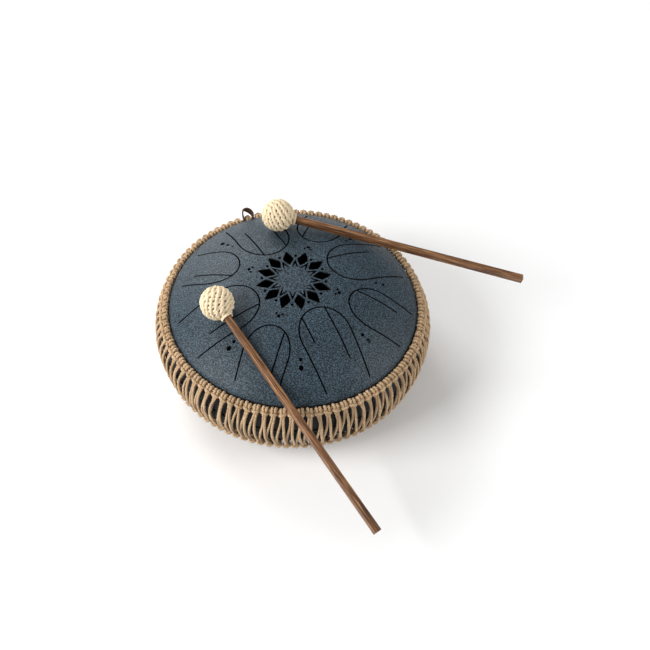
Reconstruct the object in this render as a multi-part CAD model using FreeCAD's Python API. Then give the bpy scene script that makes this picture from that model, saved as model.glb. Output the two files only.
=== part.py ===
"""Steel tongue drum with a knotted jute net round its flank and two crochet-headed mallets.

Millimetres, +Z up. The origin is on the drum's axis, in the plane that the rubber feet
stand on. Angles are in degrees, anticlockwise from +X seen from above.
"""
import FreeCAD, Part
import math
import os

from FreeCAD import Placement, Rotation, Vector

# ---------------------------------------------------------------- driving dimensions
# Steel body: two pressed shells welded at the seam.
WALL = 1.8
SEAM_Z = 60.0
SHELL_R = 129.0
RIM_Z = SEAM_Z + 27.0          # plane of the net's upper edge
DOME_RISE = 38.0               # crown of the dome above that plane
DOME_R = 121.0
DOME_POWER = 2.75
SHOULDER_R = 117.0             # the dome turns down into the steep flank here
FLANK_TOP = (120.3, RIM_Z - 1.9)
FLANK_SLOPE = 69.0
BOWL_DEPTH = 52.0
BOWL_POWERS = (3.0, 2.6)       # superellipse of the lower shell: radius, depth
SEAM_BEAD_R = 1.2
SEAM_BEAD_GAP = 0.02           # keeps the bead off the shell's own surface

# Tongues: U-shaped slits, nose towards the crown.
TONGUE_COUNT = 8
FIRST_TONGUE_ANGLE = 30.0
SLIT = 1.45
# nose radius, half-width behind the nose, half-width at the root, depth of the nose
LONG_TONGUE = (38.5, 24.5, 22.5, 28.0)
SHORT_TONGUE = (55.5, 21.7, 20.8, 27.0)
# radius at which each tongue's slits end
TONGUE_ENDS = {30.0: 109.0, 75.0: 111.0, 120.0: 106.0, 165.0: 106.5, 210.0: 111.0, 255.0: 109.5, 300.0: 112.0,
               345.0: 113.0}
# tuning slits inside a tongue: (sideways offset, inner radius, outer radius)
TUNING_SLITS = {
    30.0: [(11.0, 42.0, 89.0)],
    75.0: [(10.5, 58.5, 98.0)],
    120.0: [(11.0, 42.0, 86.0), (-13.7, 43.5, 70.0)],
    165.0: [(10.5, 58.5, 98.0)],
    210.0: [(11.0, 42.0, 93.0)],
    255.0: [(10.5, 58.5, 98.0)],
    300.0: [(11.0, 42.0, 94.0), (-13.7, 43.5, 70.0)],
    345.0: [(10.5, 58.5, 100.5)],
}

# Round holes between the tongues, as (radius on the drum, diameter).
GAP_HOLES_SMALL = [(86.0, 3.3), (79.0, 2.5)]
GAP_HOLES_LARGE = [(91.5, 4.5), (84.5, 3.3)]
GAP_HOLES_TRIPLE = [(92.4, 4.5), (85.2, 3.3), (78.5, 2.3)]
GAP_HOLES = {
    7.5: GAP_HOLES_SMALL,
    52.5: GAP_HOLES_SMALL,
    97.5: GAP_HOLES_SMALL,
    142.5: GAP_HOLES_TRIPLE,
    187.5: GAP_HOLES_SMALL,
    232.5: GAP_HOLES_LARGE,
    277.5: GAP_HOLES_LARGE,
    322.5: GAP_HOLES_LARGE,
}
# Three holes before each short tongue's nose: (radius, sideways offset, diameter).
NOSE_HOLES = [(45.0, 0.0, 3.4), (42.4, 2.9, 2.5), (42.4, -2.9, 2.5)]

# Lotus of twelve petals round the crown.
PETAL_COUNT = 12
FIRST_PETAL_ANGLE = 15.0
PETAL_TIP_R = 36.8
PETAL_CORNER = (26.2, 5.4)
PETAL_ROOT_R = 18.6
PETAL_BULGE = 0.45
LOTUS_HOLE = (30.4, 3.0)
CHEVRON = [(25.4, 0.0), (21.5, 1.45), (15.5, 3.1), (15.4, 2.0), (20.4, 0.0)]

# Rubber feet, pushed into holes in the lower shell.
FOOT_COUNT = 4
FOOT_NAMES = ["foot_right_rear", "foot_left_rear", "foot_left_front", "foot_right_front"]
FOOT_CIRCLE_R = 70.0
FOOT_R = 9.0
FOOT_STEM_R = 3.9
FOOT_HOLE_R = 4.0
FOOT_BUTTON_R = 6.0
FOOT_BUTTON_HEIGHT = 2.5

# Jute net. Ring sections are ovals: centre radius, centre height, half-length, half-thickness, slope.
KNOT_ROW = (124.9, RIM_Z - 4.6, 6.5, 2.6, -42.0)
LOWER_KNOT_ROW = (126.3, RIM_Z - 53.4, 4.0, 2.6, -122.0)
CARRIER_CORD = (124.2, RIM_Z - 3.4)
CARRIER_R = 1.3
CORD_D = 2.8
STRAND_SKIN = [(131.2, RIM_Z - 11.0), (133.6, RIM_Z - 18.0), (134.8, RIM_Z - 27.0),
               (133.9, RIM_Z - 37.0), (131.2, RIM_Z - 48.0)]
UNDER_SKIN = [(124.4, RIM_Z - 58.5), (118.8, RIM_Z - 63.6), (110.9, RIM_Z - 67.4)]
DRAW_CORD_R = 1.6
DRAW_CORD_DEPTH = 37.6         # below the seam
DRAW_KNOT_R = 4.5
DRAW_KNOT_ANGLE = 115.0

# Leather hanging loop, threaded on the carrier cord at the back.
LOOP_ANGLE = 115.0
LOOP_LEAN = 35.0               # outwards from upright
LOOP_HALF_WIDTH = 5.6
LOOP_HEIGHT = 10.0
LOOP_THICKNESS = 1.4
LOOP_EYE_R = 2.4               # half the strap's width at its ends, round the carrier cord
LOOP_STRAP_HALF = 3.4          # half its width above the rope
LOOP_FLARE = 3.6               # height at which it has its full width
LOOP_CLEARANCE = 0.4

# Mallets, lying on the drum: place of the head's contact, direction and droop of the stick.
MALLETS = [
    ("mallet_left", (-64.05, -36.13), -50.42, 16.95),
    ("mallet_right", (-18.45, 70.08), -2.91, 14.04),
]
HEAD_R = 16.6
HEAD_GAP = 0.4                 # head and stick stay this far off the drum
CORE_R = 12.2
COVER_INNER_R = 12.4
STICK_INSERT = 6.0             # the stick's end is this far past the middle of the core
STICK_REACH = 256.0
STICK_HEAD_WIDTH = 6.0
STICK_BUTT_WIDTH = 7.0
STICK_EDGE = 1.1
NECK_YARN_R = 1.1
NECK_YARN_X = 16.4

AXIS = Vector(0, 0, 1)
CENTRE = Vector(0, 0, 0)


# ---------------------------------------------------------------- profiles of the steel
def dome_z(radius):
    """Height of the dome's outer surface at a radius from the axis."""
    return RIM_Z + DOME_RISE * (1.0 - (radius / DOME_R) ** DOME_POWER)


def dome_slope(radius):
    """Fall of the dome's outer surface per unit of radius, as a positive number."""
    return DOME_RISE * DOME_POWER * radius ** (DOME_POWER - 1.0) / DOME_R ** DOME_POWER


def bowl_point(radius):
    """Point of the lower shell's outer surface at a radius from the axis."""
    radial_power, depth_power = BOWL_POWERS
    share = 1.0 - (radius / SHELL_R) ** radial_power
    return Vector(radius, 0, SEAM_Z - BOWL_DEPTH * share ** (1.0 / depth_power))


def bezier(poles, count):
    """Points along a Bezier curve."""
    curve = Part.BezierCurve()
    curve.setPoles([Vector(r, 0, z) for r, z in poles])
    return [curve.value(i / (count - 1.0)) for i in range(count)]


def upper_profile():
    """Outer outline of the upper shell from the crown to the seam, in three smooth stretches."""
    dome = [Vector(SHOULDER_R * i / 14.0, 0, dome_z(SHOULDER_R * i / 14.0)) for i in range(15)]
    fall = dome_slope(SHOULDER_R)
    turn = 1.6
    steep = math.tan(math.radians(FLANK_SLOPE))
    top_r, top_z = FLANK_TOP
    corner = bezier([(SHOULDER_R, dome_z(SHOULDER_R)),
                     (SHOULDER_R + turn, dome_z(SHOULDER_R) - turn * fall),
                     (top_r - 0.45, top_z + 0.45 * steep),
                     (top_r, top_z)], 9)
    reach = 3.6
    flank = bezier([(top_r, top_z),
                    (top_r + reach, top_z - reach * steep),
                    (SHELL_R, SEAM_Z + 9.0),
                    (SHELL_R, SEAM_Z)], 12)
    return [dome, corner, flank]


def lower_profile():
    """Outer outline of the lower shell from the seam to the middle of the bottom."""
    steps = 24
    points = []
    for i in range(steps + 1):
        turn = math.radians(90.0 * i / steps)
        radius = SHELL_R * math.cos(turn) ** (2.0 / BOWL_POWERS[0])
        depth = BOWL_DEPTH * math.sin(turn) ** (2.0 / BOWL_POWERS[1])
        points.append(Vector(radius, 0, SEAM_Z - depth))
    return [points]


def inward(points, distance):
    """Outline at a distance inside another one that runs clockwise round the axis."""
    moved = []
    for i, point in enumerate(points):
        along = points[min(i + 1, len(points) - 1)] - points[max(i - 1, 0)]
        along.normalize()
        moved.append(point + Vector(along.z, 0, -along.x) * distance)
    return moved


def curve(points):
    """Smooth edge through points."""
    spline = Part.BSplineCurve()
    spline.interpolate(points)
    return spline.toShape()


def revolved_shell(stretches):
    """Pressed sheet of wall thickness WALL below an outer outline given in stretches."""
    whole = stretches[0] + [p for stretch in stretches[1:] for p in stretch[1:]]
    inner = inward(whole, WALL)
    for i in (0, -1):
        if abs(whole[i].x) < 1e-6:
            inner[i] = Vector(0, 0, inner[i].z)
        else:
            inner[i] = Vector(whole[i].x - WALL, 0, whole[i].z)
    edges = [curve(stretch) for stretch in stretches]
    start = 0
    inner_edges = []
    for stretch in stretches:
        inner_edges.append(curve(inner[start:start + len(stretch)]))
        start += len(stretch) - 1
    edges.append(Part.makeLine(whole[0], inner[0]))
    edges.append(Part.makeLine(whole[-1], inner[-1]))
    outline = Part.Wire(Part.__sortEdges__(edges + inner_edges))
    return Part.Face(outline).revolve(CENTRE, AXIS, 360)


def revolved_body(stretches):
    """Everything inside an outer outline, as one solid of revolution."""
    first, last = stretches[0][0], stretches[-1][-1]
    edges = [curve(stretch) for stretch in stretches]
    if first.x < last.x:
        corner = Vector(0, 0, last.z)
    else:
        corner = Vector(0, 0, first.z)
    edges.append(Part.makeLine(last if first.x < last.x else first, corner))
    edges.append(Part.makeLine(corner, first if first.x < last.x else last))
    outline = Part.Wire(Part.__sortEdges__(edges))
    return Part.Face(outline).revolve(CENTRE, AXIS, 360)


# ---------------------------------------------------------------- openings cut in the dome
def turned(shape, angle):
    """Copy of a shape turned about the drum's axis."""
    copy = shape.copy()
    copy.rotate(CENTRE, AXIS, angle)
    return copy


def prism(outline):
    """Cutting block over a flat outline, tall enough for the whole dome."""
    block = Part.Face(outline).extrude(Vector(0, 0, DOME_RISE + 60.0))
    block.translate(Vector(0, 0, SEAM_Z + 5.0))
    return block


def tongue_block(nose_r, nose_half, root_half, nose_depth, end_r, margin):
    """Tongue outline grown by a margin: half an ellipse, then two straight legs."""
    centre_x = nose_r + nose_depth
    nose = Part.Ellipse(CENTRE, max(nose_depth, nose_half) + margin, min(nose_depth, nose_half) + margin)
    if nose_depth >= nose_half:
        arc = Part.Arc(nose, math.pi / 2.0, 1.5 * math.pi).toShape()
    else:
        arc = Part.Arc(nose, 0.0, math.pi).toShape()
        arc.rotate(CENTRE, AXIS, 90)
    arc.translate(Vector(centre_x, 0, 0))
    top = Vector(centre_x, nose_half + margin, 0)
    bottom = Vector(centre_x, -nose_half - margin, 0)
    top_end = Vector(end_r, root_half + margin, 0)
    bottom_end = Vector(end_r, -root_half - margin, 0)
    legs = [Part.makeLine(top, top_end), Part.makeLine(top_end, bottom_end), Part.makeLine(bottom_end, bottom)]
    return prism(Part.Wire(Part.__sortEdges__([arc] + legs)))


def tongue_slit(size, end_r):
    """U-shaped slit round one tongue that points along +X."""
    return tongue_block(*size, end_r, SLIT / 2.0).cut(tongue_block(*size, end_r, -SLIT / 2.0))


def straight_slit(offset, inner_r, outer_r):
    """Straight slit along +X."""
    half = SLIT / 2.0
    corners = [(inner_r, offset - half), (outer_r, offset - half), (outer_r, offset + half), (inner_r, offset + half)]
    points = [Vector(x, y, 0) for x, y in corners]
    return prism(Part.makePolygon(points + points[:1]))


def round_hole(radius, sideways, diameter):
    """Round hole at a radius along +X."""
    edge = Part.makeCircle(diameter / 2.0, Vector(radius, sideways, 0))
    return prism(Part.Wire([edge]))


def petal():
    """Kite-shaped petal with gently bowed sides, pointing along +X."""
    corner_x, corner_y = PETAL_CORNER
    tip = Vector(PETAL_TIP_R, 0, 0)
    root = Vector(PETAL_ROOT_R, 0, 0)
    edges = []
    for side in (1.0, -1.0):
        corner = Vector(corner_x, side * corner_y, 0)
        for end in (tip, root):
            middle = (corner + end) * 0.5 + Vector(0, side * PETAL_BULGE, 0)
            edges.append(Part.Arc(end, middle, corner).toShape())
    return prism(Part.Wire(Part.__sortEdges__(edges)))


def chevron():
    """Arrowhead slit between two petals, pointing along +X."""
    half = [Vector(x, y, 0) for x, y in CHEVRON]
    mirrored = [Vector(p.x, -p.y, 0) for p in half[-2:0:-1]]
    points = half + mirrored
    return prism(Part.makePolygon(points + points[:1]))


def dome_cutters():
    """All the blocks that cut the tongues, holes and lotus out of the dome."""
    cutters = []
    for i in range(TONGUE_COUNT):
        angle = FIRST_TONGUE_ANGLE + i * 360.0 / TONGUE_COUNT
        size = SHORT_TONGUE if i % 2 else LONG_TONGUE
        slit = tongue_slit(size, TONGUE_ENDS[angle])
        for offset, inner_r, outer_r in TUNING_SLITS[angle]:
            slit = slit.fuse(straight_slit(offset, inner_r, outer_r))
        cutters.append(turned(slit, angle))
        if i % 2:
            cutters += [turned(round_hole(r, side, d), angle) for r, side, d in NOSE_HOLES]
    for angle, holes in GAP_HOLES.items():
        cutters += [turned(round_hole(r, 0.0, d), angle) for r, d in holes]
    step = 360.0 / PETAL_COUNT
    for i in range(PETAL_COUNT):
        angle = FIRST_PETAL_ANGLE + i * step
        cutters.append(turned(petal(), angle))
        cutters.append(turned(round_hole(LOTUS_HOLE[0], 0.0, LOTUS_HOLE[1]), angle + step / 2.0))
        cutters.append(turned(chevron(), angle + step / 2.0))
    return cutters


# ---------------------------------------------------------------- steel body and feet
def upper_shell():
    """Domed sheet with the tongues, holes and lotus cut through it."""
    return revolved_shell(upper_profile()).cut(dome_cutters())


def foot_angle(index):
    """Angle of one foot on the feet's circle."""
    return 45.0 + index * 360.0 / FOOT_COUNT


def lower_shell():
    """Closed bowl with a hole for each foot."""
    hole = Part.makeCylinder(FOOT_HOLE_R, SEAM_Z, Vector(FOOT_CIRCLE_R, 0, 0))
    cutters = [turned(hole, foot_angle(i)) for i in range(FOOT_COUNT)]
    return revolved_shell(lower_profile()).cut(cutters)


def seam_weld():
    """Half-round weld bead round the outside of the seam."""
    inside_r = SHELL_R + SEAM_BEAD_GAP
    low = Vector(inside_r, 0, SEAM_Z - SEAM_BEAD_R)
    high = Vector(inside_r, 0, SEAM_Z + SEAM_BEAD_R)
    crown = Part.Arc(low, Vector(inside_r + SEAM_BEAD_R, 0, SEAM_Z), high).toShape()
    section = Part.Face(Part.Wire([crown, Part.makeLine(high, low)]))
    return section.revolve(CENTRE, AXIS, 360)


def foot():
    """Rubber foot on the +X side: pad, stem through the shell and a button inside it."""
    body = revolved_body(lower_profile())
    wall = revolved_shell(lower_profile())
    place = Vector(FOOT_CIRCLE_R, 0, 0)
    pad = Part.makeCylinder(FOOT_R, SEAM_Z / 2.0, place).cut(body)
    pad = min(pad.Solids, key=lambda solid: solid.CenterOfMass.z)
    pad_edge = min(pad.Edges, key=lambda edge: edge.BoundBox.ZMax)
    pad = pad.makeFillet(1.0, [pad_edge])
    under = bowl_point(FOOT_CIRCLE_R).z
    top = under + WALL + FOOT_BUTTON_HEIGHT
    stem = Part.makeCylinder(FOOT_STEM_R, top - under + 3.0, place + Vector(0, 0, under - 3.0))
    button = Part.makeCylinder(FOOT_BUTTON_R, top - under + 3.0, place + Vector(0, 0, under - 3.0)).cut(wall)
    button = max(button.Solids, key=lambda solid: solid.CenterOfMass.z)
    return pad.fuse([stem, button]).removeSplitter()


# ---------------------------------------------------------------- jute net and leather loop
def oval_ring(radius, height, half_length, half_thickness, slope):
    """Ring with an oval section that slopes outwards and down."""
    oval = Part.Ellipse(CENTRE, half_length, half_thickness).toShape()
    oval.rotate(CENTRE, Vector(1, 0, 0), 90)
    oval.rotate(CENTRE, Vector(0, 1, 0), -slope)
    oval.translate(Vector(radius, 0, height))
    return Part.Face(Part.Wire([oval])).revolve(CENTRE, AXIS, 360)


def skin(outline, thickness):
    """Sheet of revolution below an outer outline."""
    outer = [Vector(r, 0, z) for r, z in outline]
    inner = inward(outer, thickness)
    edges = [curve(outer), curve(inner), Part.makeLine(outer[0], inner[0]), Part.makeLine(outer[-1], inner[-1])]
    return Part.Face(Part.Wire(Part.__sortEdges__(edges))).revolve(CENTRE, AXIS, 360)


def carrier_cord():
    """Cord ring that the upper knots are tied on."""
    radius, height = CARRIER_CORD
    return Part.makeTorus(radius, CARRIER_R, Vector(0, 0, height))


def loop_slots():
    """Two narrow gaps in the upper knots, for the leather loop's legs."""
    radius, height = CARRIER_CORD
    half = LOOP_THICKNESS / 2.0 + LOOP_CLEARANCE
    slots = []
    for side in (-1.0, 1.0):
        middle = side * (LOOP_HALF_WIDTH - LOOP_THICKNESS / 2.0)
        slot = Part.makeBox(24.0, 2.0 * half, 24.0, Vector(radius - 12.0, middle - half, height - 12.0))
        slots.append(turned(slot, LOOP_ANGLE))
    return slots


def upper_knots():
    """Row of knots round the rim, tied over the carrier cord."""
    body = revolved_body(upper_profile())
    return oval_ring(*KNOT_ROW).cut([carrier_cord(), body] + loop_slots())


def draw_cord():
    """Cord that gathers the net under the drum, with its knot."""
    outline = lower_profile()[0]
    index = min(range(len(outline)), key=lambda i: abs(outline[i].z - (SEAM_Z - DRAW_CORD_DEPTH)))
    along = outline[index + 1] - outline[index - 1]
    along.normalize()
    centre = outline[index] + Vector(-along.z, 0, along.x) * (DRAW_CORD_R + 0.25)
    ring = Part.makeTorus(centre.x, DRAW_CORD_R, Vector(0, 0, centre.z))
    outwards = Vector(-along.z, 0, along.x) * (DRAW_KNOT_R - DRAW_CORD_R)
    knot = Part.makeSphere(DRAW_KNOT_R, centre + outwards)
    return ring.fuse(turned(knot, DRAW_KNOT_ANGLE))


def net_underside():
    """Cords from the lower knots to the draw cord, as one sheet."""
    return skin(UNDER_SKIN, CORD_D).cut(draw_cord())


def leather_loop():
    """Arched leather strap; a punched hole in each end is threaded on the carrier cord."""
    radius, height = CARRIER_CORD
    bend = LOOP_HALF_WIDTH
    spring = LOOP_HEIGHT - bend
    start = Vector(-LOOP_STRAP_HALF, 0, spring)
    along = Vector(1, 0, 0)
    outer = Part.makeCylinder(bend, 2 * LOOP_STRAP_HALF, start, along)
    inner = Part.makeCylinder(bend - LOOP_THICKNESS, 2 * LOOP_STRAP_HALF, start, along)
    lower_half = Part.makeBox(4 * LOOP_STRAP_HALF, 4 * bend, 2 * bend,
                              Vector(-2 * LOOP_STRAP_HALF, -2 * bend, spring - 2 * bend))
    arch = outer.cut(inner).cut(lower_half)
    outline = [(-LOOP_EYE_R, 0), (-LOOP_STRAP_HALF, LOOP_FLARE), (-LOOP_STRAP_HALF, spring),
               (LOOP_STRAP_HALF, spring), (LOOP_STRAP_HALF, LOOP_FLARE), (LOOP_EYE_R, 0)]
    parts = []
    for side in (-bend, bend - LOOP_THICKNESS):
        corners = [Vector(x, side, z) for x, z in outline]
        leg = Part.Face(Part.makePolygon(corners + corners[:1])).extrude(Vector(0, LOOP_THICKNESS, 0))
        eye = Part.makeCylinder(LOOP_EYE_R, LOOP_THICKNESS, Vector(0, side, 0), Vector(0, 1, 0))
        parts += [leg, eye]
    strap = arch.fuse(parts).removeSplitter()
    strap.rotate(CENTRE, Vector(0, 1, 0), LOOP_LEAN)
    strap.translate(Vector(radius, 0, height))
    strap = turned(strap, LOOP_ANGLE)
    hole = Part.makeTorus(radius, CARRIER_R + LOOP_CLEARANCE, Vector(0, 0, height))
    return strap.cut(hole)


# ---------------------------------------------------------------- mallets
def head_centre(contact):
    """Middle of a mallet head that rests on the dome over a point (x, y)."""
    x, y = contact
    radius = math.hypot(x, y)
    slope = dome_slope(radius)
    normal = Vector(slope * x / radius, slope * y / radius, 1.0)
    normal.normalize()
    return Vector(x, y, dome_z(radius)) + normal * (HEAD_R + HEAD_GAP)


def stick():
    """Square stick with softened edges, wider towards the butt, along +X from the head."""
    sections = []
    for x, width in ((-STICK_INSERT, STICK_HEAD_WIDTH), (STICK_REACH, STICK_BUTT_WIDTH)):
        half = width / 2.0
        corners = [Vector(x, y, z) for y, z in ((-half, -half), (half, -half), (half, half), (-half, half))]
        sections.append(Part.makePolygon(corners + corners[:1]))
    blank = Part.makeLoft(sections, True, True)
    length = STICK_REACH + STICK_INSERT
    long_edges = [edge for edge in blank.Edges if edge.Length > 0.9 * length]
    return blank.makeFillet(STICK_EDGE, long_edges)


def mallet_pieces():
    """Pieces of one mallet: stick along +X, head round the origin."""
    rod = stick()
    core = Part.makeSphere(CORE_R).cut(rod)
    cover = Part.makeSphere(HEAD_R).cut([Part.makeSphere(COVER_INNER_R), rod])
    yarn_ring = STICK_HEAD_WIDTH * 0.72 + NECK_YARN_R
    yarn = Part.makeTorus(yarn_ring, NECK_YARN_R, Vector(NECK_YARN_X, 0, 0), Vector(1, 0, 0))
    cover = cover.cut(yarn)
    yarn = yarn.cut(rod)
    return {"stick": rod, "core": core, "crochet_cover": cover, "neck_yarn": yarn}


def placed_mallet(contact, azimuth, droop):
    """Pieces of one mallet, laid on the drum."""
    turn = Rotation(AXIS, azimuth).multiply(Rotation(Vector(0, 1, 0), droop))
    pose = Placement(head_centre(contact), turn)
    placed = {}
    for name, shape in mallet_pieces().items():
        copy = shape.copy()
        copy.Placement = pose.multiply(copy.Placement)
        placed[name] = copy
    return placed


# ---------------------------------------------------------------- build
def main():
    """Make every piece and write it to its own file."""
    pieces = {
        "upper_shell": upper_shell(),
        "lower_shell": lower_shell(),
        "seam_weld": seam_weld(),
        "carrier_cord": carrier_cord(),
        "upper_knots": upper_knots(),
        "net_strands": skin(STRAND_SKIN, CORD_D),
        "lower_knots": oval_ring(*LOWER_KNOT_ROW),
        "net_underside": net_underside(),
        "draw_cord": draw_cord(),
        "leather_loop": leather_loop(),
    }
    one_foot = foot()
    for i, name in enumerate(FOOT_NAMES):
        pieces[name] = turned(one_foot, foot_angle(i))
    for mallet, contact, azimuth, droop in MALLETS:
        for piece, shape in placed_mallet(contact, azimuth, droop).items():
            pieces[mallet + "_" + piece] = shape
    os.makedirs("parts", exist_ok=True)
    for name, shape in pieces.items():
        solid = shape.Solids[0] if len(shape.Solids) == 1 else shape
        print(name, len(shape.Solids), round(shape.Volume, 1), shape.isValid())
        solid.exportStep(os.path.join("parts", name + ".step"))


main()
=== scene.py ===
"""Looks of a steel tongue drum with a knotted jute net, a leather loop and two crochet-headed mallets."""
import logging
import math
import random
from dataclasses import dataclass, field
from enum import Enum
from typing import Callable, Optional

import bmesh
import bpy
from mathutils import Matrix, Vector


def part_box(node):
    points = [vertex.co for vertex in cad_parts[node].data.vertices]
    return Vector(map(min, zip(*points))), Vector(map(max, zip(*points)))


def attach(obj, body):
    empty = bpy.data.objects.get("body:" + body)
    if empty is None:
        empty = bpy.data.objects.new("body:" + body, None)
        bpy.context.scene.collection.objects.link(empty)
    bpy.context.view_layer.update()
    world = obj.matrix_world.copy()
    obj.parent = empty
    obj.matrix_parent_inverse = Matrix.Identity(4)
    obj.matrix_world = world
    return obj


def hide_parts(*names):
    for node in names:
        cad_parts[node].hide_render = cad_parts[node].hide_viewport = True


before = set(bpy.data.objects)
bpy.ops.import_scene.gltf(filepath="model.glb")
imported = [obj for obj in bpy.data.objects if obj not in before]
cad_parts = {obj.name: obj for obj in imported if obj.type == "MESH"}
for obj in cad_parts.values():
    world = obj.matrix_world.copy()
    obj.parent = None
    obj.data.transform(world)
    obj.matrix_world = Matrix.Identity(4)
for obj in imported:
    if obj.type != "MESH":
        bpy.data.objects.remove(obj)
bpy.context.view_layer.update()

log = logging.getLogger("drum")
MM = 0.001


# ------------------------------------------------------------------ small helpers
def node_object(name: str) -> bpy.types.Object:
    """The frame's object for one CAD node."""
    return bpy.data.objects[name]


def link(obj: bpy.types.Object) -> bpy.types.Object:
    """Put an object in the scene."""
    bpy.context.scene.collection.objects.link(obj)
    return obj


def mesh_piece(name: str, mesh: bpy.types.Mesh, material: bpy.types.Material) -> bpy.types.Object:
    """Make a mesh a shown piece with one material.

    Args:
        name: the piece's name.
        mesh: its mesh, already in place.
        material: its finish.

    Returns:
        The new object, at the origin.
    """
    mesh.name = name
    mesh.materials.clear()
    mesh.materials.append(material)
    return link(bpy.data.objects.new(name, mesh))


def dress(name: str, material: bpy.types.Material) -> bpy.types.Object:
    """Give a carried-over CAD node its finish, and return its object."""
    obj = node_object(name)
    for index in range(len(obj.material_slots)):
        obj.material_slots[index].link = "OBJECT"
        obj.material_slots[index].material = material
    return obj


# ------------------------------------------------------------------ shader building
class Tree:
    """A node tree with short calls for adding and joining nodes."""

    def __init__(self, tree: bpy.types.NodeTree) -> None:
        """Start from an empty tree."""
        self.tree = tree
        tree.nodes.clear()

    def add(self, kind: str, settings: Optional[dict] = None, **inputs) -> bpy.types.Node:
        """Add a node.

        Args:
            kind: the node's type name without "ShaderNode".
            settings: attributes to set on the node.
            **inputs: values or source sockets, by input name with spaces as underscores,
                or by position as i0, i1 and so on.

        Returns:
            The node.
        """
        made = self.tree.nodes.new("ShaderNode" + kind)
        for key, value in (settings or {}).items():
            setattr(made, key, value)
        for key, value in inputs.items():
            plain = key[1:].isdigit() and key[0] == "i"
            socket = made.inputs[int(key[1:])] if plain else made.inputs[key.replace("_", " ")]
            if isinstance(value, bpy.types.NodeSocket):
                self.tree.links.new(value, socket)
            else:
                socket.default_value = value
        return made

    def ramp(self, source: bpy.types.NodeSocket, stops: list[tuple[float, tuple]]) -> bpy.types.NodeSocket:
        """Colours read from a mask through a colour ramp, as its colour socket."""
        made = self.tree.nodes.new("ShaderNodeValToRGB")
        elements = made.color_ramp.elements
        while len(elements) < len(stops):
            elements.new(0.5)
        for element, (place, colour) in zip(elements, stops):
            element.position = place
            element.color = (*colour, 1.0)
        self.tree.links.new(source, made.inputs[0])
        return made.outputs[0]

    def mix(self, mask: bpy.types.NodeSocket, first, second, blend: str = "MIX") -> bpy.types.NodeSocket:
        """Two colours mixed by a mask, as a colour socket."""
        made = self.tree.nodes.new("ShaderNodeMix")
        made.data_type = "RGBA"
        made.blend_type = blend
        sockets = [made.inputs[0], made.inputs[6], made.inputs[7]]
        for socket, value in zip(sockets, (mask, first, second)):
            if isinstance(value, bpy.types.NodeSocket):
                self.tree.links.new(value, socket)
            elif isinstance(value, tuple):
                socket.default_value = (*value, 1.0)
            else:
                socket.default_value = value
        return made.outputs[2]

    def math(self, operation: str, first, second=0.0, clamp: bool = False) -> bpy.types.NodeSocket:
        """One sum on two values, as a value socket."""
        made = self.add("Math", {"operation": operation, "use_clamp": clamp}, i0=first, i1=second)
        return made.outputs[0]


def shader_group(name: str, inputs: dict[str, tuple[str, float]], outputs: dict[str, str],
                 build: Callable[[Tree, bpy.types.Node], dict]) -> bpy.types.NodeTree:
    """A shared effect as a shader node group, built once.

    Args:
        name: the group's name.
        inputs: socket kind and default by input name.
        outputs: socket kind by output name.
        build: makes the nodes and gives the output sockets by name.

    Returns:
        The group's tree.
    """
    found = bpy.data.node_groups.get(name)
    if found:
        return found
    group = bpy.data.node_groups.new(name, "ShaderNodeTree")
    for label, (kind, value) in inputs.items():
        socket = group.interface.new_socket(name=label, in_out="INPUT", socket_type="NodeSocket" + kind)
        if kind == "Float":
            socket.default_value = value
    for label, kind in outputs.items():
        group.interface.new_socket(name=label, in_out="OUTPUT", socket_type="NodeSocket" + kind)
    tree = Tree(group)
    entry = group.nodes.new("NodeGroupInput")
    leave = group.nodes.new("NodeGroupOutput")
    for label, socket in build(tree, entry).items():
        group.links.new(socket, leave.inputs[label])
    return group


def speckle_group() -> bpy.types.NodeTree:
    """Mottled grain of a textured coat, rubber or leather: a soft mask, a fine mask and a height."""
    def build(tree: Tree, entry: bpy.types.Node) -> dict:
        """Make the group's nodes."""
        place = entry.outputs["Place"]
        size = entry.outputs["Grain per metre"]
        patch = entry.outputs["Patch per metre"]
        fine = tree.add("TexNoise", {"noise_dimensions": "3D"}, Vector=place, Scale=size, Detail=3.0,
                        Roughness=0.62).outputs[0]
        pits = tree.add("TexVoronoi", {"feature": "F1"}, Vector=place, Scale=size, Randomness=1.0).outputs[0]
        soft = tree.add("TexNoise", {}, Vector=place, Scale=patch, Detail=2.0, Roughness=0.5).outputs[0]
        mask = tree.math("MULTIPLY_ADD", fine, 6.0)
        mask.node.inputs[2].default_value = -2.66
        mask.node.use_clamp = True
        height = tree.math("SUBTRACT", fine, tree.math("MULTIPLY", pits, 0.35))
        return {"Speckle": mask, "Patches": soft, "Height": height}

    return shader_group("speckle", {"Place": ("Vector", 0.0), "Grain per metre": ("Float", 900.0),
                                    "Patch per metre": ("Float", 40.0)},
                        {"Speckle": "Float", "Patches": "Float", "Height": "Float"}, build)


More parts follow.
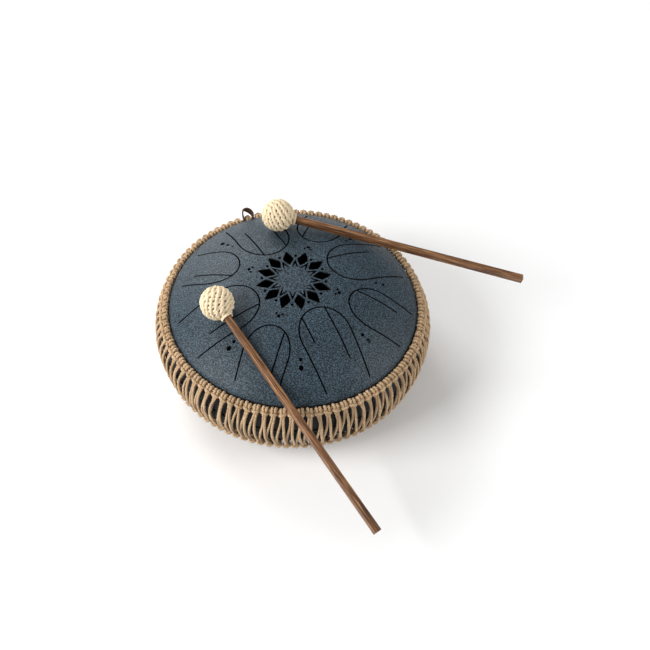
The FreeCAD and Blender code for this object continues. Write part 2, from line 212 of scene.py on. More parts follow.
def fibre_group() -> bpy.types.NodeTree:
    """Streaks of twisted fibre along a cord: a mask and a height, from the cord's own map."""
    def build(tree: Tree, entry: bpy.types.Node) -> dict:
        """Make the group's nodes."""
        parts = tree.add("SeparateXYZ", {}, Vector=entry.outputs["Map"])
        around, along = parts.outputs[0], parts.outputs[1]
        run = tree.math("MULTIPLY", along, entry.outputs["Turns"])
        skewed = tree.math("ADD", around, run)
        joined = tree.add("CombineXYZ", {}, X=tree.math("MULTIPLY", skewed, entry.outputs["Fibres"]),
                          Y=tree.math("MULTIPLY", run, 1.6)).outputs[0]
        streak = tree.add("TexNoise", {}, Vector=joined, Scale=1.0, Detail=2.0, Roughness=0.6).outputs[0]
        mask = tree.math("MULTIPLY_ADD", streak, 2.2)
        mask.node.inputs[2].default_value = -0.6
        mask.node.use_clamp = True
        return {"Streaks": mask, "Height": streak}

    return shader_group("fibre", {"Map": ("Vector", 0.0), "Turns": ("Float", 10.0), "Fibres": ("Float", 12.0)},
                        {"Streaks": "Float", "Height": "Float"}, build)


def new_material(name: str) -> tuple[bpy.types.Material, Tree]:
    """An empty node material and its tree."""
    material = bpy.data.materials.new(name)
    material.use_nodes = True
    return material, Tree(material.node_tree)


def grouped(tree: Tree, group: bpy.types.NodeTree, **inputs) -> bpy.types.Node:
    """Place a shader group in a material with its own values."""
    placed = tree.tree.nodes.new("ShaderNodeGroup")
    placed.node_tree = group
    for key, value in inputs.items():
        socket = placed.inputs[key.replace("_", " ")]
        if isinstance(value, bpy.types.NodeSocket):
            tree.tree.links.new(value, socket)
        else:
            socket.default_value = value
    return placed


def finish_shader(tree: Tree, colour, height, strength: float, distance: float, **sockets) -> None:
    """Join a Principled shader to a colour and a bump, and to the output.

    Args:
        tree: the material's tree.
        colour: colour socket or plain colour.
        height: height socket for the bump.
        strength: strength of the bump.
        distance: height of the bump in metres.
        **sockets: further Principled inputs.
    """
    bump = tree.add("Bump", {}, Strength=strength, Distance=distance, Height=height).outputs[0]
    shader = tree.add("BsdfPrincipled", {}, Normal=bump, **sockets)
    if isinstance(colour, bpy.types.NodeSocket):
        tree.tree.links.new(colour, shader.inputs["Base Color"])
    else:
        shader.inputs["Base Color"].default_value = (*colour, 1.0)
    tree.add("OutputMaterial", {}, Surface=shader.outputs[0])


# ------------------------------------------------------------------ finishes
@dataclass(frozen=True)
class PowderCoat:
    """Textured powder coat on steel, black below a painted radius if one is given; then slit walls, the inside and
    other faces that do not face up are near-black too, as painted shade.
    """

    name: str
    dark: tuple[float, float, float]
    light: tuple[float, float, float]
    roughness: float = 0.48
    specular: float = 0.3
    grain: float = 780.0
    bump: float = 0.35
    painted_radius: Optional[float] = None
    painted_floor: float = 0.0
    # near-black: black paint on the flank, and painted shade on slit walls and the inside
    flank_black_and_painted_shade: tuple[float, float, float] = (0.006, 0.006, 0.007)

    def build(self) -> bpy.types.Material:
        """The material."""
        material, tree = new_material(self.name)
        place = tree.add("TexCoord").outputs["Object"]
        speckle = grouped(tree, speckle_group(), Place=place, Grain_per_metre=self.grain, Patch_per_metre=26.0)
        colour = tree.mix(speckle.outputs["Speckle"], self.dark, self.light)
        shade = tree.ramp(speckle.outputs["Patches"], [(0.3, (0.84, 0.84, 0.84)), (0.7, (1.0, 1.0, 1.0))])
        colour = tree.mix(1.0, colour, shade, "MULTIPLY")
        if self.painted_radius is not None:
            # near-black beyond the painted radius (black flank) and on faces that do not face up (painted shade in
            # the slits and inside)
            colour = tree.mix(self.coat_and_painted_shade_mask(tree, place), self.flank_black_and_painted_shade, colour)
        rough = tree.math("MULTIPLY_ADD", speckle.outputs["Speckle"], -0.12)
        rough.node.inputs[2].default_value = self.roughness + 0.05
        finish_shader(tree, colour, speckle.outputs["Height"], self.bump, 0.35 * MM, Roughness=rough,
                      Metallic=0.0, Specular_IOR_Level=self.specular)
        return material

    def coat_and_painted_shade_mask(self, tree: Tree, place: bpy.types.NodeSocket) -> bpy.types.NodeSocket:
        """Mask that is 1 on the dome's outer face and 0 on the flank, on slit walls and inside, where faces that do
        not face up take near-black painted shade.
        """
        parts = tree.add("SeparateXYZ", {}, Vector=place)
        radius = tree.math("SQRT", tree.math("ADD", tree.math("POWER", parts.outputs[0], 2.0),
                                             tree.math("POWER", parts.outputs[1], 2.0)))
        inside = tree.math("LESS_THAN", radius, self.painted_radius)
        normal = tree.add("NewGeometry").outputs["Normal"]
        # faces that do not face up, such as slit walls and the inside, are masked to near-black as painted shade
        up = tree.math("GREATER_THAN", tree.add("SeparateXYZ", {}, Vector=normal).outputs[2], 0.35)
        return tree.math("MULTIPLY", inside, up)


@dataclass(frozen=True)
class CordFinish:
    """Twisted fibre: jute or cotton, streaked along its own map."""

    name: str
    shade: tuple[float, float, float]
    middle: tuple[float, float, float]
    light: tuple[float, float, float]
    turns: float
    fibres: float
    bump: float = 0.6
    sheen: float = 0.25

    def build(self) -> bpy.types.Material:
        """The material."""
        material, tree = new_material(self.name)
        uv = tree.add("UVMap", {"uv_map": "UVMap"}).outputs[0]
        fibre = grouped(tree, fibre_group(), Map=uv, Turns=self.turns, Fibres=self.fibres)
        place = tree.add("TexCoord").outputs["Object"]
        drift = tree.add("TexNoise", {}, Vector=place, Scale=90.0, Detail=2.0).outputs[0]
        stops = [(0.0, self.shade), (0.45, self.middle), (1.0, self.light)]
        streaked = tree.ramp(fibre.outputs["Streaks"], stops)
        tone = tree.ramp(drift, [(0.3, (0.80, 0.78, 0.74)), (0.62, (1.0, 1.0, 1.0))])
        colour = tree.mix(1.0, streaked, tone, "MULTIPLY")
        finish_shader(tree, colour, fibre.outputs["Height"], self.bump, 0.5 * MM, Roughness=0.9,
                      Sheen_Weight=self.sheen, Sheen_Roughness=0.5, Specular_IOR_Level=0.2)
        return material


@dataclass(frozen=True)
class WoodFinish:
    """Oiled dark hardwood, with the grain along one direction."""

    name: str
    turn: Matrix
    dark: tuple[float, float, float] = (0.036, 0.012, 0.004)
    middle: tuple[float, float, float] = (0.17, 0.074, 0.028)
    light: tuple[float, float, float] = (0.42, 0.22, 0.10)

    def build(self) -> bpy.types.Material:
        """The material."""
        material, tree = new_material(self.name)
        place = tree.add("TexCoord").outputs["Object"]
        turned = tree.add("Mapping", {"vector_type": "POINT"}, Vector=place).outputs[0]
        turned.node.inputs["Rotation"].default_value = self.turn.to_euler()
        drawn = tree.add("Mapping", {"vector_type": "POINT"}, Vector=turned,
                         Scale=(9.0, 210.0, 210.0)).outputs[0]
        warp = tree.add("TexNoise", {}, Vector=drawn, Scale=0.7, Detail=3.0).outputs[0]
        rings = tree.add("TexNoise", {}, Vector=drawn, Scale=3.4, Detail=5.0, Roughness=0.65,
                         Distortion=0.8).outputs[0]
        pores = tree.add("Mapping", {"vector_type": "POINT"}, Vector=turned,
                         Scale=(60.0, 1500.0, 1500.0)).outputs[0]
        fleck = tree.add("TexNoise", {}, Vector=pores, Scale=1.0, Detail=2.0).outputs[0]
        mask = tree.math("ADD", tree.math("MULTIPLY", rings, 0.75), tree.math("MULTIPLY", warp, 0.25))
        colour = tree.ramp(mask, [(0.40, self.dark), (0.50, self.middle), (0.62, self.light)])
        flecks = tree.ramp(fleck, [(0.36, (0.55, 0.5, 0.45)), (0.46, (1.0, 1.0, 1.0))])
        colour = tree.mix(1.0, colour, flecks, "MULTIPLY")
        height = tree.math("ADD", tree.math("MULTIPLY", mask, 0.5), tree.math("MULTIPLY", fleck, 0.5))
        finish_shader(tree, colour, height, 0.35, 0.3 * MM, Roughness=0.46, Specular_IOR_Level=0.45)
        return material


@dataclass(frozen=True)
class GrainedFinish:
    """Leather or rubber: one colour range with a fine grain."""

    name: str
    dark: tuple[float, float, float]
    light: tuple[float, float, float]
    grain: float
    roughness: float
    bump: float = 0.4

    def build(self) -> bpy.types.Material:
        """The material."""
        material, tree = new_material(self.name)
        place = tree.add("TexCoord").outputs["Object"]
        speckle = grouped(tree, speckle_group(), Place=place, Grain_per_metre=self.grain, Patch_per_metre=120.0)
        colour = tree.mix(speckle.outputs["Patches"], self.dark, self.light)
        finish_shader(tree, colour, speckle.outputs["Height"], self.bump, 0.25 * MM, Roughness=self.roughness,
                      Specular_IOR_Level=0.4)
        return material


BLUE_COAT = PowderCoat("blue_powder_coat", dark=(0.004, 0.009, 0.014), light=(0.070, 0.112, 0.146),
                       painted_radius=119.8 * MM, roughness=0.46, grain=900.0, bump=0.8)
BLACK_COAT = PowderCoat("black_powder_coat", dark=(0.003, 0.003, 0.003), light=(0.008, 0.008, 0.009),
                        roughness=0.55, specular=0.2)
JUTE = CordFinish("jute", shade=(0.19, 0.10, 0.042), middle=(0.54, 0.35, 0.185), light=(0.93, 0.74, 0.51),
                  turns=14.0, fibres=16.0)
CREAM_YARN = CordFinish("cream_yarn", shade=(0.82, 0.69, 0.53), middle=(0.96, 0.88, 0.75),
                        light=(1.0, 0.97, 0.90), turns=60.0, fibres=14.0, bump=0.5, sheen=0.35)
LEATHER = GrainedFinish("dark_leather", dark=(0.028, 0.013, 0.006), light=(0.105, 0.054, 0.028), grain=1100.0,
                        roughness=0.55, bump=0.6)
RUBBER = GrainedFinish("black_rubber", dark=(0.010, 0.010, 0.010), light=(0.024, 0.024, 0.024), grain=1500.0,
                       roughness=0.72)


# ------------------------------------------------------------------ cords
@dataclass(frozen=True)
class Cord:
    """A twisted cord: its radius, plies and lay, and how finely its mesh is cut."""

    radius: float
    lay: float
    plies: int = 3
    ridge: float = 0.15
    sides: int = 9
    steps: int = 4

    def section(self) -> bpy.types.Object:
        """The lobed outline that is swept along the cord."""
        outline = bpy.data.curves.new("section", "CURVE")
        outline.dimensions = "2D"
        outline.resolution_u = 1
        spline = outline.splines.new("POLY")
        spline.points.add(self.sides - 1)
        for i, point in enumerate(spline.points):
            angle = 2.0 * math.pi * i / self.sides
            reach = self.radius * (1.0 - self.ridge * (0.5 - 0.5 * math.cos(self.plies * angle)))
            point.co = (reach * math.cos(angle), reach * math.sin(angle), 0.0, 1.0)
        spline.use_cyclic_u = True
        return link(bpy.data.objects.new("section", outline))

    def mesh(self, routes: list[list[Vector]], closed: bool = False) -> bpy.types.Mesh:
        """Sweep the cord along routes.

        Args:
            routes: control points of each cord, in metres.
            closed: whether each route joins up with its own start.

        Returns:
            One mesh of all the cords, with the curve's own map.
        """
        section = self.section()
        curve = bpy.data.curves.new("cords", "CURVE")
        curve.dimensions = "3D"
        curve.twist_mode = "MINIMUM"
        curve.bevel_mode = "OBJECT"
        curve.bevel_object = section
        curve.use_fill_caps = True
        curve.resolution_u = self.steps
        for route in routes:
            spline = curve.splines.new("NURBS")
            spline.points.add(len(route) - 1)
            run = 0.0
            total = sum((b - a).length for a, b in zip(route, route[1:] + route[:1]))
            lobe = 2.0 * math.pi / self.plies
            rate = 2.0 * math.pi / self.lay
            if closed:
                rate = lobe * round(total * rate / lobe) / total
            for i, place in enumerate(route):
                if i:
                    run += (place - route[i - 1]).length
                spline.points[i].co = (*place, 1.0)
                spline.points[i].tilt = run * rate
            spline.order_u = 3
            spline.use_endpoint_u = not closed
            spline.use_cyclic_u = closed
        cords = link(bpy.data.objects.new("cords", curve))
        bpy.context.view_layer.update()
        graph = bpy.context.evaluated_depsgraph_get()
        mesh = bpy.data.meshes.new_from_object(cords.evaluated_get(graph), depsgraph=graph)
        for spare in (cords, section):
            bpy.data.objects.remove(spare, do_unlink=True)
        mesh.shade_smooth()
        return mesh


JUTE_CORD = Cord(radius=1.5 * MM, lay=8.5 * MM, ridge=0.3)
KNOT_CORD = Cord(radius=1.7 * MM, lay=6.5 * MM, ridge=0.36)
CARRIER = Cord(radius=1.2 * MM, lay=9.0 * MM, steps=3)
DRAW_CORD = Cord(radius=1.6 * MM, lay=12.0 * MM, steps=3)
HEAD_YARN = Cord(radius=1.65 * MM, lay=7.0 * MM, ridge=0.2, sides=9, steps=3)


# ------------------------------------------------------------------ the net
@dataclass
class NetLine:
    """The net's middle line, from over the rim to under the drum, seen in the plane of radius and height."""

    corners: list[tuple[float, float]]
    points: list[Vector] = field(default_factory=list)
    runs: list[float] = field(default_factory=list)

    def __post_init__(self) -> None:
        """Read the smooth line's points from a curve through the corners."""
        curve = bpy.data.curves.new("net_line", "CURVE")
        curve.dimensions = "3D"
        curve.resolution_u = 12
        spline = curve.splines.new("NURBS")
        spline.points.add(len(self.corners) - 1)
        for point, (radius, height) in zip(spline.points, self.corners):
            point.co = (radius, 0.0, height, 1.0)
        spline.order_u = 3
        spline.use_endpoint_u = True
        holder = link(bpy.data.objects.new("net_line", curve))
        bpy.context.view_layer.update()
        mesh = bpy.data.meshes.new_from_object(holder)
        self.points = [vertex.co.copy() for vertex in mesh.vertices]
        bpy.data.objects.remove(holder, do_unlink=True)
        self.runs = [0.0]
        for a, b in zip(self.points, self.points[1:]):
            self.runs.append(self.runs[-1] + (b - a).length)

    def nearest_run(self, radius: float, height: float) -> float:
        """Run along the line that is nearest to a point."""
        target = Vector((radius, 0.0, height))
        return min(zip(self.runs, self.points), key=lambda pair: (pair[1] - target).length)[0]

    def place(self, angle: float, run: float, side: float = 0.0, out: float = 0.0) -> Vector:
        """A point on or near the net.

        Args:
            angle: angle round the drum, in radians.
            run: distance along the line.
            side: distance sideways, anticlockwise seen from above.
            out: distance outwards from the line.

        Returns:
            The point, in metres.
        """
        run = min(max(run, 0.0), self.runs[-1] - 1e-9)
        i = max(k for k, reach in enumerate(self.runs[:-1]) if reach <= run)
        a, b = self.points[i], self.points[i + 1]
        share = (run - self.runs[i]) / (self.runs[i + 1] - self.runs[i])
        spot = a.lerp(b, share)
        along = (b - a).normalized()
        radius = spot.x - along.z * out
        height = spot.z + along.x * out
        turn = angle + side / spot.x
        return Vector((radius * math.cos(turn), radius * math.sin(turn), height))


@dataclass
class JuteNet:
    """Macrame net: knots on a carrier cord, crossing strands, lower knots and a draw cord under the drum."""

    knots: int = 96
    first_angle: float = math.radians(115.0)
    slack: float = 1.4 * MM
    seed: int = 7
    # one half of a knot, from the strand up over the carrier and round to the front bar: side, down, out
    half_knot: tuple = ((0.95, 6.0, 0.0), (1.0, 3.8, -0.2), (1.35, 1.8, 1.3), (1.5, 0.0, 2.2), (1.6, -1.7, 1.6),
                        (1.7, -2.4, 0.0), (1.9, -1.4, -1.5), (2.4, 0.6, -1.6), (2.85, 2.1, -0.6),
                        (2.75, 3.1, 1.2), (1.6, 3.35, 2.5))
    bar: tuple = (0.0, 3.3, 2.9)
    # how far the two strands of a knot wander sideways: share of the way down, then to the right and to the left
    drift: tuple = ((0.24, 0.9, 1.3), (0.36, 0.8, 2.6), (0.5, 0.9, 3.9), (0.63, 1.6, 4.7), (0.76, 2.7, 5.0),
                    (0.88, 3.7, 4.7))
    lower_wrap: tuple = ((-1.9, 1.6, -1.2), (-2.9, 0.7, 0.3), (-1.7, 0.1, 2.2), (0.2, -0.2, 2.7), (1.9, -0.4, 2.1),
                         (2.9, -0.5, 0.2), (1.8, -0.8, -1.6), (0.0, 0.2, -2.0), (-1.8, 1.4, -1.5), (-2.7, 2.4, 0.2),
                         (-1.4, 2.5, 2.0), (0.8, 2.2, 2.4), (2.3, 1.9, 1.5), (2.6, 1.4, -0.4))

    def __post_init__(self) -> None:
        """Take the net's sizes from the frame."""
        self.random = random.Random(self.seed)
        carrier_low, carrier_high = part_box("carrier_cord")
        thick = carrier_high.z - carrier_low.z
        self.carrier_r = carrier_high.x - thick / 2.0
        self.carrier_z = carrier_high.z - thick / 2.0
        strands_low, strands_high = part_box("net_strands")
        knots_low, knots_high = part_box("lower_knots")
        under_low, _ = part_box("net_underside")
        wide = strands_high.x - 1.4 * MM
        middle = (strands_low.z + strands_high.z) / 2.0
        lower_r = knots_high.x - 2.9 * MM
        lower_z = (knots_low.z + knots_high.z) / 2.0
        _, draw_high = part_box("draw_cord")
        self.draw_r = draw_high.x - DRAW_CORD.radius
        self.draw_z = draw_high.z - DRAW_CORD.radius
        r, z = self.carrier_r, self.carrier_z
        self.line = NetLine([
            (r - 5.6 * MM, z + 5.0 * MM), (r, z), (r + 3.6 * MM, z - 3.2 * MM), (r + 6.9 * MM, z - 7.8 * MM),
            (wide - 0.4 * MM, middle + 12.0 * MM), (wide, middle + 1.0 * MM), (wide - 0.9 * MM, middle - 9.0 * MM),
            (lower_r + 2.9 * MM, lower_z + 6.4 * MM), (lower_r, lower_z), (lower_r - 4.0 * MM, lower_z - 5.2 * MM),
            (lower_r - 9.6 * MM, lower_z - 9.8 * MM), (self.draw_r + 4.0 * MM, under_low.z + 1.6 * MM),
            (self.draw_r, self.draw_z - 1.4 * MM),
        ])
        self.top_run = self.line.nearest_run(r, z)
        self.lower_run = self.line.nearest_run(lower_r, lower_z)
        self.pitch = 2.0 * math.pi / self.knots
        log.info("net line %.1f mm, strands %.1f mm", self.line.runs[-1] / MM,
                 (self.lower_run - self.top_run) / MM)

    def knot_angle(self, index: float) -> float:
        """Angle of an upper knot, a little wider spaced beside the leather loop."""
        offset = (index + self.knots / 2.0) % self.knots - self.knots / 2.0
        spread = 3.0 * MM / self.carrier_r * math.copysign(1.0, offset) if offset else 0.0
        return self.first_angle + offset * self.pitch + spread * max(0.0, 1.0 - (abs(offset) - 1.0) / 7.0)

    def lower_angle(self, index: int) -> float:
        """Angle of a lower knot, halfway between two upper knots."""
        return self.first_angle + (index + 0.5) * self.pitch

    def at_knot(self, angle: float, spot: tuple, mirror: float = 1.0, run: Optional[float] = None) -> Vector:
        """A point of a knot, from its place in millimetres sideways, down and out."""
        side, down, out = spot
        start = self.top_run if run is None else run
        return self.line.place(angle, start + down * MM, mirror * side * MM, out * MM)

    def upper_routes(self) -> list[list[Vector]]:
        """Routes of the upper knots."""
        routes = []
        for i in range(self.knots):
            angle = self.knot_angle(i)
            tilt = self.random.uniform(-0.34, 0.34)
            size = self.random.uniform(0.93, 1.07) if i else 0.72
            def spot(part: tuple, mirror: float) -> Vector:
                """One point of this knot, with its own small tilt and size."""
                side, down, out = part
                return self.at_knot(angle, (side * size, down + tilt * side * mirror, out), mirror)
            left = [spot(part, 1.0) for part in self.half_knot]
            right = [spot(part, -1.0) for part in reversed(self.half_knot)]
            routes.append(left + [spot(self.bar, 1.0)] + right)
        return routes

    def strand_routes(self) -> list[list[Vector]]:
        """Routes of the strands between the knots."""
        length = self.lower_run - self.top_run
        routes = []
        for i in range(self.knots):
            for mirror in (1.0, -1.0):
                start = self.knot_angle(i)
                end = self.lower_angle(i if mirror > 0 else i - 1)
                level = 0.7 * mirror
                stray = self.random.uniform(-1.0, 1.0) * self.slack
                cross = 2.2 if self.random.random() < 0.3 else 0.0
                route = [self.at_knot(start, spot, mirror)
                         for spot in ((0.95, 3.0, -0.4), (0.95, 4.6, -0.1), (0.95, 6.4, 0.3))]
                for share, to_right, to_left in self.drift:
                    bow = math.sin(math.pi * share)
                    aside = (to_right if mirror > 0 else -to_left) * MM - cross * mirror * bow * MM
                    aside += stray * bow + self.random.uniform(-0.3, 0.3) * MM
                    out = (level + self.random.uniform(-0.2, 0.3)) * MM
                    route.append(self.line.place(start, self.top_run + length * share, aside, out))
                route.append(self.at_knot(end, (-1.3, -2.2, 0.3), mirror, self.lower_run))
                route.append(self.at_knot(end, (-1.3, 1.0, 0.0), mirror, self.lower_run))
                routes.append(route)
        return routes

    def lower_routes(self) -> list[list[Vector]]:
        """Routes of the wraps that make the lower knots."""
        routes = []
        for i in range(self.knots):
            angle = self.lower_angle(i)
            drop = self.random.uniform(-0.9, 0.9)
            mirror = self.random.choice((1.0, -1.0))
            routes.append([self.at_knot(angle, (side, down + drop, out), mirror, self.lower_run)
                           for side, down, out in self.lower_wrap])
        return routes

    def under_routes(self) -> list[list[Vector]]:
        """Routes of the cords from the lower knots to the draw cord."""
        routes = []
        end = self.line.runs[-1]
        for i in range(self.knots):
            for mirror in (1.0, -1.0):
                angle = self.lower_angle(i)
                wander = self.random.uniform(-0.6, 0.6) * MM
                route = [self.at_knot(angle, (1.3, 0.0, 0.0), mirror, self.lower_run)]
                for share in (0.22, 0.45, 0.7, 0.88, 1.0):
                    run = self.lower_run + (end - self.lower_run) * share
                    aside = (1.3 + 0.3 * share) * MM * mirror + wander * math.sin(math.pi * share)
                    route.append(self.line.place(angle, run, aside, 0.25 * mirror * MM))
                routes.append(route)
        return routes

    def ring(self, radius: float, height: float, points: int = 96) -> list[Vector]:
        """Control points of a ring round the drum's axis."""
        grow = 1.0 / math.cos(math.pi / points)
        turns = [2.0 * math.pi * i / points for i in range(points)]
        return [Vector((radius * grow * math.cos(a), radius * grow * math.sin(a), height)) for a in turns]

    def draw_knot_route(self) -> list[Vector]:
        """Overhand knot and two short tails on the draw cord."""
        spots = ((-16.0, 1.2, 3.4), (-9.0, 0.4, 3.2), (-3.0, -1.8, 2.4), (1.2, -2.9, 0.2), (3.4, 0.0, -0.9),
                 (1.2, 2.9, 0.4), (-2.2, 2.4, 2.6), (-3.6, 0.0, 3.9), (-1.4, -2.6, 3.6), (1.8, -1.6, 2.4),
                 (3.2, 1.4, 1.8), (7.6, 2.2, 2.6), (15.0, 3.8, 3.2))
        base = self.line.runs[-1]
        return [self.line.place(self.first_angle, base + down * MM, side * MM, (out - 0.4) * MM)
                for side, down, out in spots]

    def build(self) -> list[bpy.types.Object]:
        """Make and place all the net's pieces."""
        jute = JUTE.build()
        made = [
            ("rim_knots", KNOT_CORD.mesh(self.upper_routes()), "upper_knots"),
            ("crossing_strands", JUTE_CORD.mesh(self.strand_routes()), "net_strands"),
            ("bottom_knots", KNOT_CORD.mesh(self.lower_routes()), "lower_knots"),
            ("underside_cords", KNOT_CORD.mesh(self.under_routes()), "net_underside"),
            ("rim_carrier_cord", CARRIER.mesh([self.ring(self.carrier_r, self.carrier_z)], closed=True),
             "carrier_cord"),
        ]
        ring = DRAW_CORD.mesh([self.ring(self.draw_r, self.draw_z)], closed=True)
        knot = DRAW_CORD.mesh([self.draw_knot_route()])
        joined = bmesh.new()
        joined.from_mesh(ring)
        joined.from_mesh(knot)
        joined.to_mesh(ring)
        joined.free()
        made.append(("net_draw_cord", ring, "draw_cord"))
        pieces = []
        for name, mesh, node in made:
            piece = mesh_piece(name, mesh, jute)
            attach(piece, "drum")
            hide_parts(node)
            pieces.append(piece)
            log.info("%s: %d faces", name, len(mesh.polygons))
        return pieces


# ------------------------------------------------------------------ leather loop
@dataclass
class LeatherLoop:
    """Soft folded strap, threaded on the carrier cord by both its ends."""

    thickness: float = 1.4 * MM
    width: float = 6.4 * MM
    soft: float = 0.4 * MM
    lean: float = math.radians(35.0)
    angle: float = math.radians(115.0)
    # the strap's middle line: sideways and up from the carrier cord, share of the full width, turn of the strap
    route: tuple = ((-4.9, -2.2, 0.70, 0.0), (-4.9, 0.6, 0.72, 0.0), (-4.85, 3.6, 0.95, 4.0), (-4.7, 7.4, 1.0, 12.0),
                    (-3.7, 10.6, 1.0, 26.0), (-1.2, 11.0, 1.0, 40.0), (1.8, 9.4, 1.0, 48.0), (4.2, 6.4, 1.0, 38.0),
                    (4.9, 3.4, 0.92, 14.0), (4.9, 0.6, 0.72, 0.0), (4.9, -2.2, 0.70, 0.0))

    def section(self) -> bpy.types.Object:
        """Rectangular section with soft corners."""
        outline = bpy.data.curves.new("strap_section", "CURVE")
        outline.dimensions = "2D"
        outline.resolution_u = 1
        x, y, soft = self.thickness / 2.0, self.width / 2.0, self.soft
        corner = ((x - soft, y), (x - 0.3 * soft, y - 0.3 * soft), (x, y - soft), (x, y / 3.0))
        mirrored = [(px, -py) for px, py in reversed(corner)]
        half = list(corner) + mirrored
        points = half + [(-px, -py) for px, py in half]
        spline = outline.splines.new("POLY")
        spline.points.add(len(points) - 1)
        for point, (px, py) in zip(spline.points, points):
            point.co = (px, py, 0.0, 1.0)
        spline.use_cyclic_u = True
        return link(bpy.data.objects.new("strap_section", outline))

    def build(self) -> bpy.types.Object:
        """Make and place the strap."""
        low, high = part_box("carrier_cord")
        thick = high.z - low.z
        radius, centre_z = high.x - thick / 2.0, high.z - thick / 2.0
        section = self.section()
        curve = bpy.data.curves.new("strap", "CURVE")
        curve.dimensions = "3D"
        curve.twist_mode = "Z_UP"
        curve.bevel_mode = "OBJECT"
        curve.bevel_object = section
        curve.use_fill_caps = True
        curve.resolution_u = 6
        spline = curve.splines.new("NURBS")
        spline.points.add(len(self.route) - 1)
        for point, (side, up, share, turn) in zip(spline.points, self.route):
            point.co = (side * MM, up * MM, 0.0, 1.0)
            point.radius = share
            point.tilt = math.radians(turn)
        spline.order_u = 3
        spline.use_endpoint_u = True
        strap = link(bpy.data.objects.new("strap", curve))
        bpy.context.view_layer.update()
        graph = bpy.context.evaluated_depsgraph_get()
        mesh = bpy.data.meshes.new_from_object(strap.evaluated_get(graph), depsgraph=graph)
        for spare in (strap, section):
            bpy.data.objects.remove(spare, do_unlink=True)
        stand = Matrix(((0.0, 0.0, 1.0), (-1.0, 0.0, 0.0), (0.0, 1.0, 0.0))).to_4x4()
        mesh.transform(Matrix.Rotation(self.angle, 4, "Z") @ Matrix.Translation((radius, 0.0, centre_z)) @
                       Matrix.Rotation(self.lean, 4, "Y") @ stand)
        mesh.shade_smooth()
        piece = mesh_piece("hanging_loop", mesh, LEATHER.build())
        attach(piece, "leather_loop")
        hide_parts("leather_loop")
        log.info("hanging_loop: %d faces", len(mesh.polygons))
        return piece


# ------------------------------------------------------------------ mallets
class Side(Enum):
    """Which mallet."""

    LEFT = "mallet_left"
    RIGHT = "mallet_right"


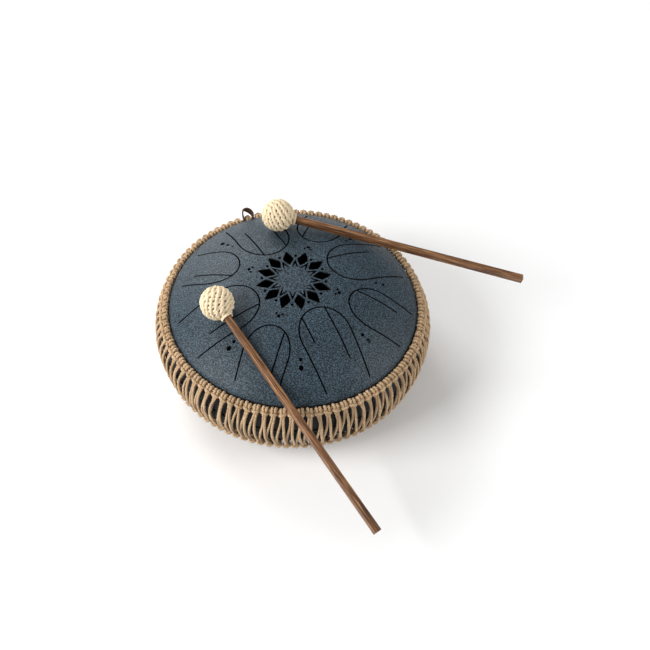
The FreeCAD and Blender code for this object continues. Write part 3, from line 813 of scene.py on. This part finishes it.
@dataclass
class Mallet:
    """One mallet: a square hardwood stick and a crocheted head over a rubber ball."""

    side: Side
    stitch: float = 6.5 * MM
    row: float = 5.0 * MM
    wave: float = 2.2 * MM
    lift: float = 0.7 * MM
    tip_angle: float = math.radians(13.0)
    neck_angle: float = math.radians(157.0)
    seed: int = 3

    def __post_init__(self) -> None:
        """Find the head's middle and the stick's direction in the frame."""
        body = self.side.value
        low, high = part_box(body + "_core")
        self.centre = (low + high) / 2.0
        cover_low, cover_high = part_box(body + "_crochet_cover")
        self.head_r = (cover_high - cover_low)[0] / 2.0
        stick = node_object(body + "_stick")
        spots = [vertex.co.copy() for vertex in stick.data.vertices]
        far = max((spot - self.centre).length for spot in spots)
        butt = [spot for spot in spots if (spot - self.centre).length > far - 1.0 * MM]
        middle = sum(butt, Vector()) / len(butt)
        along = (middle - self.centre).normalized()
        across = Vector((0.0, 0.0, 1.0)).cross(along).normalized()
        self.turn = Matrix((along, across, along.cross(across))).transposed()

    def to_frame(self, spot: Vector) -> Vector:
        """A point in the mallet's own axes (stick along +X), moved to its place."""
        return self.centre + self.turn @ spot

    def row_route(self, tilt: float, stitches: int, phase: float, sign: float,
                  noise: random.Random) -> list[Vector]:
        """One yarn of a crocheted row: it waves along a circle round the stick's line.

        Args:
            tilt: angle of the row from the head's tip.
            stitches: stitches in the row.
            phase: shift of the first stitch, in stitches.
            sign: +1 or -1, for one yarn of the pair or the other.
            noise: source of the small unevenness.

        Returns:
            Control points of the closed route.
        """
        middle_r = self.head_r - HEAD_YARN.radius - self.lift
        per_stitch = 6
        count = stitches * per_stitch
        swing = min(self.wave, 0.95 * middle_r * math.sin(tilt)) / middle_r
        route = []
        for i in range(count):
            step = i / per_stitch
            around = 2.0 * math.pi * (step + phase) / stitches
            wave = math.sin(math.pi * step) * sign
            over = math.cos(math.pi * step) * sign
            angle = tilt + wave * swing + noise.uniform(-0.008, 0.008)
            reach = middle_r + over * self.lift + noise.uniform(-0.12, 0.12) * MM
            wide = math.sin(angle)
            spot = Vector((-math.cos(angle), wide * math.cos(around), wide * math.sin(around)))
            route.append(self.to_frame(spot * reach))
        return route

    def crochet(self) -> bpy.types.Mesh:
        """The crocheted cover."""
        noise = random.Random(self.seed + (5 if self.side is Side.RIGHT else 0))
        middle_r = self.head_r - HEAD_YARN.radius - self.lift
        rows = round((self.neck_angle - self.tip_angle) * middle_r / self.row)
        routes = []
        for k in range(rows + 1):
            tilt = self.tip_angle + (self.neck_angle - self.tip_angle) * k / rows
            around = 2.0 * math.pi * middle_r * math.sin(tilt)
            stitches = max(4, 2 * round(around / self.stitch / 2.0))
            phase = 0.1 * (k % 2)
            routes += [self.row_route(tilt, stitches, phase, sign, noise) for sign in (1.0, -1.0)]
        return HEAD_YARN.mesh(routes, closed=True)

    def neck(self) -> bpy.types.Mesh:
        """Two turns of yarn that gather the cover round the stick."""
        route = []
        for i in range(25):
            around = 2.0 * math.pi * i / 12.0
            reach = (5.6 - 0.3 * i / 24.0) * MM
            along = self.head_r - (1.1 - 1.9 * i / 24.0) * MM
            route.append(self.to_frame(Vector((along, reach * math.cos(around), reach * math.sin(around)))))
        return Cord(radius=1.0 * MM, lay=7.0 * MM, steps=3).mesh([route])

    def build(self) -> list[bpy.types.Object]:
        """Make and place the mallet's pieces."""
        body = self.side.value
        yarn = bpy.data.materials.get(CREAM_YARN.name) or CREAM_YARN.build()
        cover = mesh_piece(body + "_crochet", self.crochet(), yarn)
        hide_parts(body + "_crochet_cover")
        neck = mesh_piece(body + "_gathering_yarn", self.neck(), yarn)
        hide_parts(body + "_neck_yarn")
        for piece in (cover, neck):
            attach(piece, body)
            log.info("%s: %d faces", piece.name, len(piece.data.polygons))
        stick = dress(body + "_stick", WoodFinish(body + "_wood", self.turn.transposed()).build())
        core = dress(body + "_core", bpy.data.materials.get(RUBBER.name) or RUBBER.build())
        return [cover, neck, stick, core]


# ------------------------------------------------------------------ steel body and feet
@dataclass
class SteelBody:
    """The two shells, their seam and the rubber feet, which keep their CAD shapes."""

    feet: tuple = ("foot_right_rear", "foot_left_rear", "foot_left_front", "foot_right_front")

    def build(self) -> list[bpy.types.Object]:
        """Give each CAD node its finish."""
        black = BLACK_COAT.build()
        rubber = bpy.data.materials.get(RUBBER.name) or RUBBER.build()
        made = [dress("upper_shell", BLUE_COAT.build()), dress("lower_shell", black), dress("seam_weld", black)]
        return made + [dress(name, rubber) for name in self.feet]


# ------------------------------------------------------------------ studio
@dataclass
class Studio:
    """Plain pale floor, soft lights and the camera."""

    elevation: float = math.radians(51.64)
    roll: float = math.radians(-2.93)
    distance: float = 1.2161
    lens: float = 70.25
    aside: tuple[float, float] = (31.6 * MM, -23.3 * MM)
    target_height: float = 87.0 * MM

    def camera(self) -> None:
        """Aim the camera at the drum from the front, above and slightly to the right."""
        data = bpy.data.cameras.new("camera")
        data.lens = self.lens
        data.sensor_width = 36.0
        data.clip_start = 0.05
        data.clip_end = 20.0
        back = Vector((0.0, -math.cos(self.elevation), math.sin(self.elevation)))
        right = Vector((1.0, 0.0, 0.0))
        up = back.cross(right)
        turned_right = right * math.cos(self.roll) - up * math.sin(self.roll)
        turned_up = right * math.sin(self.roll) + up * math.cos(self.roll)
        target = Vector((*self.aside, self.target_height))
        camera = link(bpy.data.objects.new("camera", data))
        pose = Matrix((turned_right, turned_up, back)).transposed().to_4x4()
        camera.matrix_world = Matrix.Translation(target + back * self.distance) @ pose
        bpy.context.scene.camera = camera

    def light(self, name: str, spot: tuple, size: float, power: float, colour: tuple = (1.0, 1.0, 1.0)) -> None:
        """A soft square light aimed at the drum."""
        data = bpy.data.lights.new(name, "AREA")
        data.shape = "SQUARE"
        data.size = size
        data.energy = power
        data.color = colour
        lamp = link(bpy.data.objects.new(name, data))
        away = Vector(spot) - Vector((0.0, 0.0, 0.08))
        lamp.location = spot
        lamp.rotation_euler = away.to_track_quat("Z", "Y").to_euler()

    def floor(self) -> None:
        """A plain pale floor under the feet."""
        sheet = bmesh.new()
        bmesh.ops.create_grid(sheet, x_segments=1, y_segments=1, size=6.0)
        mesh = bpy.data.meshes.new("floor")
        sheet.to_mesh(mesh)
        sheet.free()
        material, tree = new_material("pale_floor")
        shader = tree.add("BsdfPrincipled", {}, Base_Color=(0.93, 0.93, 0.93, 1.0), Roughness=0.9,
                          Specular_IOR_Level=0.1)
        tree.add("OutputMaterial", {}, Surface=shader.outputs[0])
        floor = mesh_piece("floor", mesh, material)
        floor.location.z = -0.0005

    def sky(self) -> None:
        """Even white light from all round."""
        world = bpy.data.worlds.new("studio")
        world.use_nodes = True
        world.node_tree.nodes["Background"].inputs[0].default_value = (1.0, 1.0, 1.0, 1.0)
        world.node_tree.nodes["Background"].inputs[1].default_value = 0.28
        bpy.context.scene.world = world

    def build(self) -> None:
        """Set up the studio."""
        bpy.context.scene.view_settings.view_transform = "Standard"
        self.camera()
        self.floor()
        self.sky()
        self.light("key", (-1.5, -0.8, 1.1), 1.2, 44.0)
        self.light("back_left", (-1.0, 1.4, 1.1), 1.2, 26.0)
        self.light("right_fill", (1.7, -0.2, 0.9), 1.2, 18.0)


def main() -> None:
    """Build every part in order."""
    logging.basicConfig(level=logging.INFO, format="%(name)s: %(message)s")
    Studio().build()
    SteelBody().build()
    JuteNet().build()
    LeatherLoop().build()
    for side in Side:
        Mallet(side).build()


if __name__ == "__main__":
    main()
